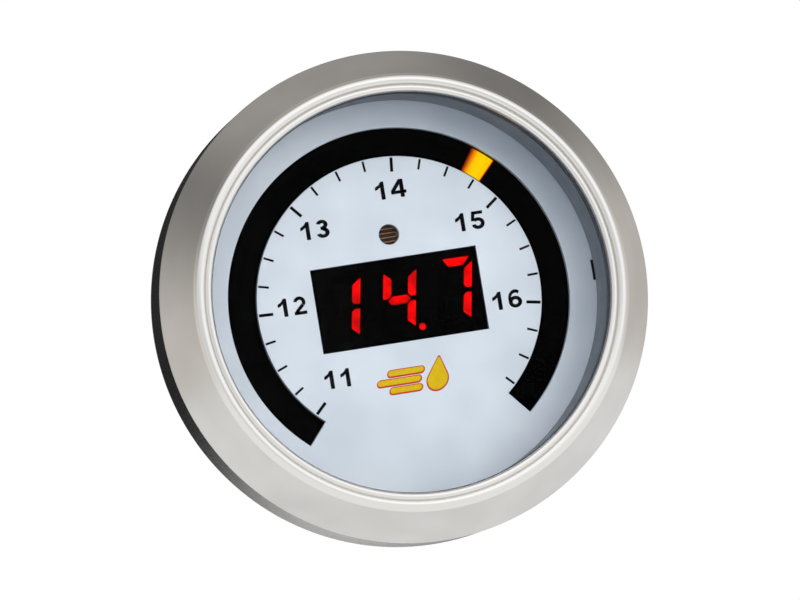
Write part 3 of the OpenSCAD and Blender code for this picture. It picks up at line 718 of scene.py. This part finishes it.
def point(digit):
    """A decimal point, sheared back first so that the lean leaves it round."""
    centre_lean = POINT_AT[1] * LEAN
    middle = arc(POINT_AT, POINT_R, 0, 360 - 360 / POINT_STEPS, POINT_STEPS - 1)
    return prism([(x + centre_lean - y * LEAN, y) for x, y in middle], digit, 0)


# %% Raise the bars
lit, unlit = [], []
for digit in (-1, 0, 1):
    for letter, outline in BARS.items():
        (lit if letter in LIT[digit] else unlit).append(prism(outline, digit))
    (lit if "." in LIT[digit] else unlit).append(point(digit))
print(len(lit), "lit bars,", len(unlit), "dark ones")

# %% [markdown]
# ## Light from the bars
#
# A lit bar is moulded acrylic with a red chip below it, so it glows, but not evenly. It gives off its own
# light, and blotches of about 1.6 mm make one part of a bar deeper than another. A dark bar is the same
# acrylic with no light in it, and shows only as a shade of black.

# %% Red and dark acrylic
red_light, tree, shader = new_material("lit_red_acrylic", "#1a0000", 0.6, specular=0.05)
glow = blotches(tree, 1.6, "#c00000", "#ff0000", 1.0, 0.32, 0.58)
tree.links.new(glow, shader.inputs["Emission Color"])
shader.inputs["Emission Strength"].default_value = 1.0
dark_bar, tree, shader = new_material("unlit_red_acrylic", "#020101", 0.6, specular=0.01)
tree.links.new(blotches(tree, 0.5, "#010101", "#030101"), shader.inputs["Base Color"])
lit_bars = piece(joined(*lit), "display_lit_bars", red_light, "gauge", smooth=False)
piece(joined(*unlit), "display_dark_bars", dark_bar, "gauge", smooth=False)
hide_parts("display_bars")

# %% [markdown]
# ## The lit cell of the scale
#
# One of the 24 cells is lit. Its light comes through the smoked film as an amber block: bright yellow over
# most of the cell, a dimmer orange strip on its left, and a thin orange edge on its right. The film is what
# the eye sees, so the glow is a wafer on the film, and its brightness follows the angle round the dial. The
# angle is worked out from Object coordinates, so it stays with the piece.

# %% Amber wafer on the film
CELL_FROM, CELL_TO = 35.0, 43.7
CELL_IN, CELL_OUT = 17.75, 20.8
FILM_Z = DIAL_Z - DIAL_T
WAFER_T = 0.02
cell_at, cell_wide = (CELL_FROM + CELL_TO) / 2, CELL_TO - CELL_FROM
wafer = sector(CELL_IN, CELL_OUT, FILM_Z, FILM_Z + WAFER_T, cell_at, cell_wide, 16)

amber, tree, shader = new_material("amber_light_in_smoked_film", "#080400", 0.6, specular=0.05)
split = add(tree, "ShaderNodeSeparateXYZ", {"Vector": place_mm(tree)})
clock_angle = add(tree, "ShaderNodeMath", {0: split.outputs["X"], 1: split.outputs["Z"]}, operation="ARCTAN2")
across = add(tree, "ShaderNodeMapRange", {"Value": clock_angle.outputs[0], "From Min": radians(CELL_FROM),
                                          "From Max": radians(CELL_TO)})
ramp = add(tree, "ShaderNodeValToRGB", {"Fac": across.outputs["Result"]})
shades = [(0.0, "#1c0200"), (0.08, "#a03000"), (0.18, "#e87c00"), (0.26, "#f69a00"), (0.31, "#ffc200"),
            (0.60, "#ffd400"), (0.94, "#ffc400"), (0.97, "#e85a00"), (1.0, "#a81800")]
while len(ramp.color_ramp.elements) < len(shades):
    ramp.color_ramp.elements.new(0.5)
for element, (position, colour) in zip(ramp.color_ramp.elements, shades):
    element.position = position
    element.color = linear(colour)
tree.links.new(ramp.outputs["Color"], shader.inputs["Emission Color"])
shader.inputs["Emission Strength"].default_value = 1.0
piece(wafer, "lit_cell", amber, "gauge")

# %% [markdown]
# ## The other pieces of the dial
#
# The wall between dial and lens is a turned ring. Inside it is drawn a dark matte grey, darker than its
# silver: a painted shade for the deep recess under the lip. A small step under its foot gives the thin dark
# line that runs round the dial. The gasket is grey rubber and hardly shows. The lens is a plain clear disc
# with a softened edge.

# %% Profiles of the ring, the gasket and the lens
RING_H = 7.65
RING_TOP = DIAL_Z + RING_H
LENS_T = 1.5
LENS_TOP = RING_TOP + LENS_T
GASKET_T = 0.5
GASKET_IN = 0.12
FOOT_DEEP = 0.4
FOOT_TALL = 0.22


def foot(r_in, r_out, low, high):
    """A tube's profile with a step under its inner edge."""
    step_r, step_z = r_in + FOOT_DEEP, low + FOOT_TALL
    return [(step_r, low), (step_r, step_z), (r_in, step_z), (r_in, high), (r_out, high), (r_out, low)]


def tube(r_in, r_out, low, high, soft=0.05):
    """A tube's profile with softened corners."""
    corners = ((r_in + soft, low + soft, 270), (r_in + soft, high - soft, 180),
               (r_out - soft, high - soft, 90), (r_out - soft, low + soft, 0))
    return [end for r, z, start in corners for end in arc((r, z), soft, start, start - 90, 2)]


def disc(r_out, low, high, soft=0.1):
    """Half of a disc's profile, out from its axis, with softened edges."""
    lower = arc((r_out - soft, low + soft), soft, -90, 0, 3)
    upper = arc((r_out - soft, high - soft), soft, 0, 90, 3)
    return [(0, low), *lower, *upper, (0, high)]


# %% Wall ring and gasket
# The dark grey is painted shade: deep under the lip the ring's silver lies in shadow.
ring_painted_shade, tree, shader = new_material("grey_ring_painted_shade", "#7c838c", 0.6, 0.2)
tree.links.new(blotches(tree, 3.0, "#767d86", "#828992", 1.0), shader.inputs["Base Color"])
grit(tree, shader, 0.3, (0.5, 0.65))
wall = piece(turned(foot(LIP_R, RIM_R, DIAL_Z, RING_TOP)), "wall_ring", ring_painted_shade, "gauge")
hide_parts("dial_ring")

rubber, tree, shader = new_material("moulded_grey_rubber", "#4a4f56", 0.7)
tree.links.new(blotches(tree, 0.6, "#464b52", "#50555c"), shader.inputs["Base Color"])
grit(tree, shader, 0.2, (0.7, 0.7), 0.01)
seal = turned(tube(LIP_R - GASKET_IN, RIM_R, LENS_TOP, LENS_TOP + GASKET_T))
gasket = piece(seal, "gasket_ring", rubber, "gauge")
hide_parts("lens_gasket")

# %% [markdown]
# ## Clear lens
#
# The lens is flat acrylic with an anti-glare coat on both faces. The coat takes nearly all of the reflection
# away, which is why the display stays black. A coat of that kind is drawn as a low index: refraction through
# a flat disc hardly moves what is behind it anyway. Light that reaches the dial has to pass the lens, so
# shadow rays and diffuse rays go straight through.

# %% Acrylic lens
acrylic, tree, shader = new_material("coated_clear_acrylic", "#ffffff", 0.0,
                                     **{"IOR": 1.05, "Transmission Weight": 1.0})
paths = add(tree, "ShaderNodeLightPath")
clear = add(tree, "ShaderNodeBsdfTransparent")
passes = add(tree, "ShaderNodeMath", {0: paths.outputs["Is Shadow Ray"], 1: paths.outputs["Is Diffuse Ray"]},
             operation="MAXIMUM")
mixed = add(tree, "ShaderNodeMixShader", {0: passes.outputs[0], 1: shader.outputs["BSDF"],
                                         2: clear.outputs["BSDF"]})
resurface(tree, mixed.outputs["Shader"])
lens = piece(turned(disc(RIM_R, RING_TOP, LENS_TOP)), "lens_disc", acrylic, "gauge")
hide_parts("lens")

# %% [markdown]
# ## Track of the light sensor
#
# Through the small hole in the dial the sensor's face shows: a thin tan layer of cadmium sulphide winds over
# a dark ceramic face. The winding is a row of straight runs, joined by half turns.

# %% Wind the track
TRACK_RUNS = 4
TRACK_STEP = 0.52
TRACK_W = 0.14
TRACK_HALF = 0.85
SENSOR_TOP = -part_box("photocell")[0][1] / MM
half_track = TRACK_W / 2
track = []
for i in range(TRACK_RUNS):
    y = (i - (TRACK_RUNS - 1) / 2) * TRACK_STEP
    track.append(patch((-TRACK_HALF, y - half_track), (TRACK_HALF, y - half_track),
                       (TRACK_HALF, y + half_track), (-TRACK_HALF, y + half_track)))
    if i < TRACK_RUNS - 1:
        side = 1 if i % 2 else -1
        radii = (TRACK_STEP / 2 - half_track, TRACK_STEP / 2 + half_track)
        bend = swept_edge(radii, -90, -90 + side * 180, 10)
        bmesh.ops.translate(bend, vec=(side * TRACK_HALF, y + TRACK_STEP / 2, 0), verts=bend.verts)
        track.append(bend)
winding = printed(joined(*track), (0.0, SENSOR_Y))
bmesh.ops.translate(winding, vec=(0, 0, SENSOR_TOP - DIAL_Z), verts=winding.verts)
sensing, tree, shader = new_material("cadmium_sulphide_layer", "#936f53", 0.6, specular=0.1)
tree.links.new(blotches(tree, 0.3, "#86634a", "#a07a5c"), shader.inputs["Base Color"])
piece(winding, "sensor_track", sensing, "gauge", smooth=False)

# %% [markdown]
# ## Threads of the two studs
#
# The CAD studs are plain rods. The real ones are M4: a thread ridge of 0.7 mm pitch winds round a thinner
# core. A spin that also climbs makes the ridge, and the head inside the housing is a plain disc.

# %% Wind the threads
PITCH = 0.7
THREAD_STEPS = 24
THREAD_FROM = 0.8
THREAD_END = 0.4
ROOT_HALF, CREST_HALF = 0.33, 0.05
ROOT_SUNK = 0.2
STUD_Y = 11.5
STUD_R = 2.0
CORE_R = 1.62
CHAMFER = 0.4
HEAD_R, HEAD_H = 3.2, 1.2
HEAD_SOFT = 0.2
stud_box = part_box("mounting_studs")
STUD_TIP = -stud_box[1][1] / MM
HEAD_TOP = -stud_box[0][1] / MM
HEAD_UNDER = HEAD_TOP - HEAD_H
THREAD_TOP = -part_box("cup")[1][1] / MM - THREAD_END
TURNS = int((THREAD_TOP - STUD_TIP) / PITCH) - 1


def thread_ridge():
    """A four sided ridge that climbs one pitch a turn, closed at both ends."""
    bm = bmesh.new()
    root, foot_z = CORE_R - ROOT_SUNK, STUD_TIP + THREAD_FROM
    section = closed_loop(bm, [(root, foot_z - ROOT_HALF), (STUD_R, foot_z - CREST_HALF),
                               (STUD_R, foot_z + CREST_HALF), (root, foot_z + ROOT_HALF)])
    bmesh.ops.spin(bm, geom=section, cent=(0, 0, 0), axis=(0, 0, 1), dvec=(0, 0, PITCH / THREAD_STEPS),
                   angle=2 * pi * TURNS, steps=THREAD_STEPS * TURNS, use_merge=False)
    bmesh.ops.holes_fill(bm, edges=bm.edges, sides=0)
    bmesh.ops.recalc_face_normals(bm, faces=bm.faces)
    return bm


studs = []
for side in (-1, 1):
    core = turned([(0, STUD_TIP), (CORE_R - CHAMFER, STUD_TIP), (CORE_R, STUD_TIP + CHAMFER),
                   (CORE_R, THREAD_TOP), (STUD_R, THREAD_TOP + CHAMFER), (STUD_R, HEAD_UNDER),
                   (HEAD_R - HEAD_SOFT, HEAD_UNDER), (HEAD_R, HEAD_UNDER + HEAD_SOFT),
                   (HEAD_R, HEAD_TOP - HEAD_SOFT), (HEAD_R - HEAD_SOFT, HEAD_TOP), (0, HEAD_TOP)], 48)
    stud = joined(core, thread_ridge())
    bmesh.ops.translate(stud, vec=(0, side * STUD_Y, 0), verts=stud.verts)
    studs.append(stud)
print("each stud has", TURNS, "turns of thread")

# %% [markdown]
# ## Finishes of the other nodes
#
# The other CAD nodes keep their shape and get the finish of the real thing: moulded nylon for the housing and
# connectors, zinc plated steel for the strap, turned brass for the nuts, solder mask on the boards. Each is a
# base colour with a pattern of a real size, a spread of roughness and a shallow bump.

# %% Moulded, plated and turned finishes
def finish(name, low_hex, high_hex, patch_mm, grit_mm, rough, metallic=0.0, relief_mm=0.01, specular=0.5):
    material, tree, shader = new_material(name, low_hex, rough[0], metallic, specular)
    tree.links.new(blotches(tree, patch_mm, low_hex, high_hex), shader.inputs["Base Color"])
    grit(tree, shader, grit_mm, rough, relief_mm, detail=3.0)
    return material


# %% Finishes by node
finishes = {
    "smoked_film": finish("smoked_polyester_film", "#010101", "#030303", 3.0, 0.5, (0.6, 0.7), relief_mm=0.0,
                          specular=0.012),
    "light_block": finish("moulded_black_abs", "#0c0c0d", "#131314", 4.0, 0.4, (0.55, 0.7)),
    "light_pipes": finish("amber_acrylic", "#c07a10", "#d89020", 1.0, 0.4, (0.1, 0.2)),
    "arc_leds": finish("white_chip_package", "#e4e0d2", "#eeeade", 1.0, 0.2, (0.35, 0.5)),
    "digit_display": finish("black_display_case", "#010101", "#030303", 2.0, 0.4, (0.6, 0.7), relief_mm=0.0,
                            specular=0.012),
    "display_pins": finish("tinned_wire", "#b9b9b4", "#cfcfca", 1.0, 0.2, (0.25, 0.4), 1.0),
    "photocell": finish("printed_ceramic_electrodes", "#2e231c", "#43352b", 0.8, 0.3, (0.5, 0.65),
                        specular=0.1),
    "display_board": finish("green_solder_mask", "#0d3a20", "#14502c", 2.5, 0.6, (0.3, 0.45)),
    "led_drivers": finish("moulded_epoxy", "#141415", "#1c1c1d", 1.5, 0.15, (0.5, 0.65)),
    "link_header": finish("moulded_black_nylon", "#101011", "#19191b", 2.0, 0.3, (0.45, 0.6)),
    "link_pins": finish("gold_plated_brass", "#c79a45", "#dbb264", 1.0, 0.2, (0.2, 0.3), 1.0),
    "board_spacers": finish("turned_brass", "#b5904a", "#caa65e", 1.5, 0.25, (0.25, 0.4), 1.0),
    "board_screws": finish("zinc_plated_screw", "#a9abb0", "#bdbfc4", 1.0, 0.25, (0.25, 0.4), 1.0),
    "capacitors": finish("drawn_aluminium_can", "#b3b4b6", "#c6c7c9", 2.0, 0.25, (0.25, 0.35), 1.0),
    "cup": finish("moulded_glass_nylon", "#131315", "#1b1b1e", 5.0, 0.35, (0.5, 0.62), relief_mm=0.02),
    "clamp_strap": finish("bright_zinc_plate", "#a7a9ac", "#bfc1c3", 4.0, 0.4, (0.28, 0.42), 1.0),
    "washer_top": finish("zinc_plated_spring_steel", "#8f9195", "#a5a7ab", 2.0, 0.3, (0.3, 0.42), 1.0),
    "thumb_nut_top": finish("turned_brass_nut", "#b98f45", "#d0a75c", 2.0, 0.25, (0.22, 0.36), 1.0),
}
same_finish = {
    "photocell_leads": "display_pins", "main_board": "display_board", "controller_chip": "led_drivers",
    "voltage_regulator": "led_drivers", "link_receptacle": "link_header", "sensor_socket": "link_header",
    "power_socket": "link_header", "sensor_pins": "link_pins", "power_pins": "link_pins",
    "washer_bottom": "washer_top", "thumb_nut_bottom": "thumb_nut_top",
}

# %% Dress the nodes
threaded = piece(joined(*studs), "threaded_studs", finishes["clamp_strap"], "gauge")
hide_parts("mounting_studs")
replaced = {"bezel", "faceplate", "display_bars", "dial_ring", "lens_gasket", "lens", "mounting_studs"}
for name, obj in nodes.items():
    if name in replaced:
        continue
    obj.data.materials.clear()
    obj.data.materials.append(finishes[same_finish.get(name, name)])
print(len(nodes) - len(replaced), "CAD nodes dressed")

# %% [markdown]
# ## Camera
#
# The photograph was taken with a long lens, a little from the left and a little from below, and leaned. The
# camera was worked out from the ellipses of the bezel and the dial. It is stored as the two directions of the
# picture's right and down and the camera's place.

# %% Camera
CAMERA_AT = Vector((-137.513, -845.608, -55.328)) * MM
PICTURE_RIGHT = Vector((0.975495, -0.148955, -0.161935))
PICTURE_DOWN = Vector((-0.149837, 0.089213, -0.984678))
LENS_MM = 315.0
camera = bpy.data.objects.new("camera", bpy.data.cameras.new("camera"))
bpy.context.scene.collection.objects.link(camera)
camera.data.lens = LENS_MM
camera.data.sensor_width = 36.0
camera.data.clip_start = 0.05
camera.data.clip_end = 20.0
back = PICTURE_RIGHT.cross(-PICTURE_DOWN)
turn = Matrix((PICTURE_RIGHT, -PICTURE_DOWN, back)).transposed().to_4x4()
camera.matrix_world = Matrix.Translation(CAMERA_AT) @ turn
bpy.context.scene.camera = camera
print("camera looks along", [round(v, 3) for v in -back])

# %% [markdown]
# ## Studio floor
#
# The object stands over a pale floor. The floor is mostly white to the camera and to reflections, and it
# still takes a shadow, because a small share of it is ordinary matte paper.

# %% Floor
FLOOR_Z = -75 * MM
FLOOR_HALF = 260 * MM
FLOOR_GLOW = 0.9
floor_bm = bmesh.new()
bmesh.ops.create_grid(floor_bm, x_segments=1, y_segments=1, size=FLOOR_HALF)
bmesh.ops.translate(floor_bm, vec=(0, 0, FLOOR_Z), verts=floor_bm.verts)
floor_mesh = bpy.data.meshes.new("floor")
floor_bm.to_mesh(floor_mesh)
floor_bm.free()
floor = bpy.data.objects.new("floor", floor_mesh)
bpy.context.scene.collection.objects.link(floor)


def seen_directly(tree):
    """1 for camera, glossy and transmission rays, and 0 for the light that falls on the object."""
    paths = add(tree, "ShaderNodeLightPath")
    either = add(tree, "ShaderNodeMath", {0: paths.outputs["Is Camera Ray"],
                                          1: paths.outputs["Is Glossy Ray"]}, operation="MAXIMUM")
    return add(tree, "ShaderNodeMath", {0: either.outputs[0], 1: paths.outputs["Is Transmission Ray"]},
               operation="MAXIMUM").outputs[0]


floor_paint, tree, shader = new_material("matte_white_paper", "#f0f0f0", 0.9)
glow = add(tree, "ShaderNodeEmission", {"Color": linear("#ffffff"), "Strength": 1.0})
share = add(tree, "ShaderNodeMath", {0: seen_directly(tree), 1: FLOOR_GLOW}, operation="MULTIPLY")
mixed = add(tree, "ShaderNodeMixShader", {0: share.outputs[0], 1: shader.outputs["BSDF"],
                                         2: glow.outputs["Emission"]})
resurface(tree, mixed.outputs["Shader"])
floor_mesh.materials.append(floor_paint)
print("floor", round(2 * FLOOR_HALF / MM), "mm wide")

# %% [markdown]
# ## The room that the metal mirrors
#
# The world is white to the camera and a soft, cool light for matte surfaces. Metal has no colour of its own
# at a distance: it shows the room. So the world that its reflections meet is drawn as a studio would be. The
# half behind the gauge is bright low down, dim high up, lighter again overhead and dark in the middle of the
# far wall. The half in front is evenly bright, with two soft patches in the directions of the lamps. Each
# row of the list below is one smooth change, by height or by depth, from one brightness to another.

# %% Brightness of the room
KEY_PLACE = (0.7, -1.2, 0.3)
TOP_PLACE = (-0.2, -1.05, 0.8)
PATCH_CORE, PATCH_END = cos(radians(8)), cos(radians(38))
PATCH_LIGHT = 0.5
SOFT_BELOW, SOFT_ABOVE = 0.74, 0.46
world = bpy.data.worlds.new("studio")
bpy.context.scene.world = world
world.use_nodes = True
tree = world.node_tree
tree.nodes.clear()
direction = add(tree, "ShaderNodeTexCoord").outputs["Generated"]
split = add(tree, "ShaderNodeSeparateXYZ", {"Vector": direction})
up, behind = split.outputs["Z"], split.outputs["Y"]
aims = [add(tree, "ShaderNodeVectorMath", {0: direction, 1: Vector(place).normalized()},
            operation="DOT_PRODUCT").outputs["Value"] for place in (KEY_PLACE, TOP_PLACE)]
changes = {
    "dim_ceiling": (up, 0.06, 0.62, 0.74, 0.2),
    "overhead": (up, 0.62, 0.86, 1.0, 2.2),
    "dark_wall": (behind, 0.66, 0.9, 1.0, 0.0),
    "front_wall": (behind, -0.4, -0.9, 0.8, 0.7),
    "key_patch": (aims[0], PATCH_END, PATCH_CORE, 0.0, PATCH_LIGHT),
    "top_patch": (aims[1], PATCH_END, PATCH_CORE, 0.0, PATCH_LIGHT),
    "in_front": (behind, 0.26, -0.08, 0.0, 1.0),
}
light = {}
for name, (value, low, high, at_low, at_high) in changes.items():
    ends = {"From Min": low, "From Max": high, "To Min": at_low, "To Max": at_high}
    light[name] = add(tree, "ShaderNodeMapRange", {"Value": value, **ends},
                      interpolation_type="SMOOTHSTEP").outputs["Result"]
back_half, front_half = light["dim_ceiling"], light["front_wall"]
for name in ("overhead", "dark_wall"):
    back_half = add(tree, "ShaderNodeMath", {0: back_half, 1: light[name]}, operation="MULTIPLY").outputs[0]
for name in ("key_patch", "top_patch"):
    front_half = add(tree, "ShaderNodeMath", {0: front_half, 1: light[name]}, operation="ADD").outputs[0]
print("the room has", len(changes), "changes of brightness")

# %% World behind everything
room_light = add(tree, "ShaderNodeMapRange", {"Value": light["in_front"], "To Min": back_half,
                                              "To Max": front_half}, interpolation_type="SMOOTHSTEP")
falls = add(tree, "ShaderNodeMapRange", {"Value": up, "From Min": -1.0, "To Min": SOFT_BELOW,
                                         "To Max": SOFT_ABOVE})
soft = add(tree, "ShaderNodeBackground", {"Color": linear("#e7f3ff"), "Strength": falls.outputs["Result"]})
walls = add(tree, "ShaderNodeMix", {"Factor": light["in_front"], "A": linear("#fffaf3"),
                                    "B": linear("#fcfdff")}, data_type="RGBA")
room = add(tree, "ShaderNodeBackground", {"Color": walls.outputs["Result"],
                                          "Strength": room_light.outputs["Result"]})
white = add(tree, "ShaderNodeBackground", {"Color": linear("#ffffff"), "Strength": 1.0})
paths = add(tree, "ShaderNodeLightPath")
in_metal = add(tree, "ShaderNodeMixShader", {0: paths.outputs["Is Glossy Ray"], 1: soft.outputs["Background"],
                                            2: room.outputs["Background"]})
clear_view = add(tree, "ShaderNodeMath", {0: paths.outputs["Is Camera Ray"],
                                          1: paths.outputs["Is Transmission Ray"]}, operation="MAXIMUM")
seen = add(tree, "ShaderNodeMixShader", {0: clear_view.outputs[0], 1: in_metal.outputs["Shader"],
                                        2: white.outputs["Background"]})
add(tree, "ShaderNodeOutputWorld", {"Surface": seen.outputs["Shader"]})
print("world:", len(tree.nodes), "nodes")

# %% [markdown]
# ## Lamps
#
# Two round lamps stand in front, one to the right and one above. They give the dial its light and the object
# its soft shadow. They are hidden from mirror rays, because the hard white disc of a lamp on the bezel's
# side wall looks like a piece missing from it.

# %% Lamps
def softbox(name, place, size, power, colour):
    """A round lamp, in metres, that points at the dial."""
    light = bpy.data.lights.new(name, "AREA")
    light.shape = "DISK"
    light.size = size
    light.energy = power
    light.color = linear(colour)[:3]
    obj = bpy.data.objects.new(name, light)
    bpy.context.scene.collection.objects.link(obj)
    obj.visible_glossy = False
    obj.matrix_world = Matrix.Translation(place) @ Vector(place).to_track_quat("Z", "Y").to_matrix().to_4x4()


softbox("key_right", KEY_PLACE, 1.0, 4.6, "#fffcf6")
softbox("top_front", TOP_PLACE, 0.9, 3.1, "#fffcf6")
bpy.context.scene.view_settings.view_transform = "Standard"
